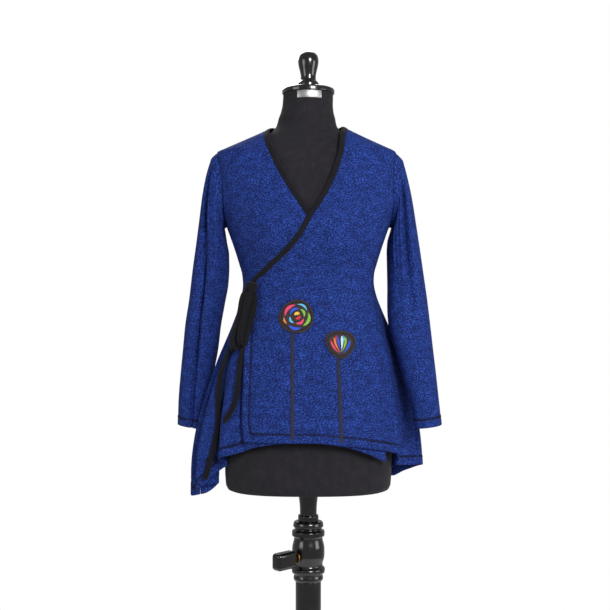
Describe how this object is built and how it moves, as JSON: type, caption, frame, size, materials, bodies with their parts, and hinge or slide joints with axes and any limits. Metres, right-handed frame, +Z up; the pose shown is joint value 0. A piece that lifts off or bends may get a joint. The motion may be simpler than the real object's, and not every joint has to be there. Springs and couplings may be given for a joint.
{
  "type": "wrap cardigan on a dress form",
  "caption": "Blue knit wrap cardigan with dark neck bindings, side tie bow and flower appliques, on a limbless dress form with a turned stand and round base.",
  "frame": {"origin": "on the floor under the centre of the pole, at the underside of the base", "axes": "+Z up along the pole, -Y towards the front of the garment, +X towards the wearer's left"},
  "size_m": [0.5527, 0.34, 1.6],
  "materials": {
    "cloth": "blue melange fine knit",
    "binding": "black jersey",
    "applique": "padded patchwork of printed cotton",
    "stitching": "dense dark satin stitch",
    "form_jersey": "charcoal jersey over a hard shell",
    "black_gloss": "gloss black lacquer",
    "steel": "brushed",
    "iron": "satin black enamel",
    "brass": "satin"
  },
  "bodies": {
    "stand": {"base": "iron", "lower_pole": "black_gloss", "pole_head": "black_gloss"},
    "knob": {"clamp_washer": "brass", "clamp_knob": "black_gloss"},
    "mast": {"mast": "steel"},
    "form": {"ferrule": "black_gloss", "form_torso": "form_jersey", "neck_cap": "black_gloss", "finial": "black_gloss", "neck_plate": "steel", "front_left": "cloth", "front_right": "cloth", "back": "cloth", "sleeve_left": "cloth", "sleeve_right": "cloth", "binding_left": "binding", "binding_right": "binding", "binding_back": "binding", "tie_knot": "binding", "tie_loop_outer": "binding", "tie_loop_inner": "binding", "tie_end_long": "binding", "tie_end_short": "binding", "flower_round": "applique", "flower_tulip": "applique", "flower_round_rim": "stitching", "flower_tulip_rim": "stitching", "stem_round": "stitching", "stem_tulip": "stitching"}
  },
  "joints": [
    {"name": "mast_slide", "type": "slide", "parent": "stand", "child": "mast", "axis": [0, 0, 1], "range_m": [0, 0.15]},
    {"name": "form_turn", "type": "hinge", "parent": "mast", "child": "form", "pos_m": [0, 0, 0.62], "axis": [0, 0, 1], "continuous": true},
    {"name": "knob_turn", "type": "hinge", "parent": "stand", "child": "knob", "pos_m": [0, 0, 0.528], "axis": [-0.7071, -0.7071, 0], "continuous": true}
  ]
}
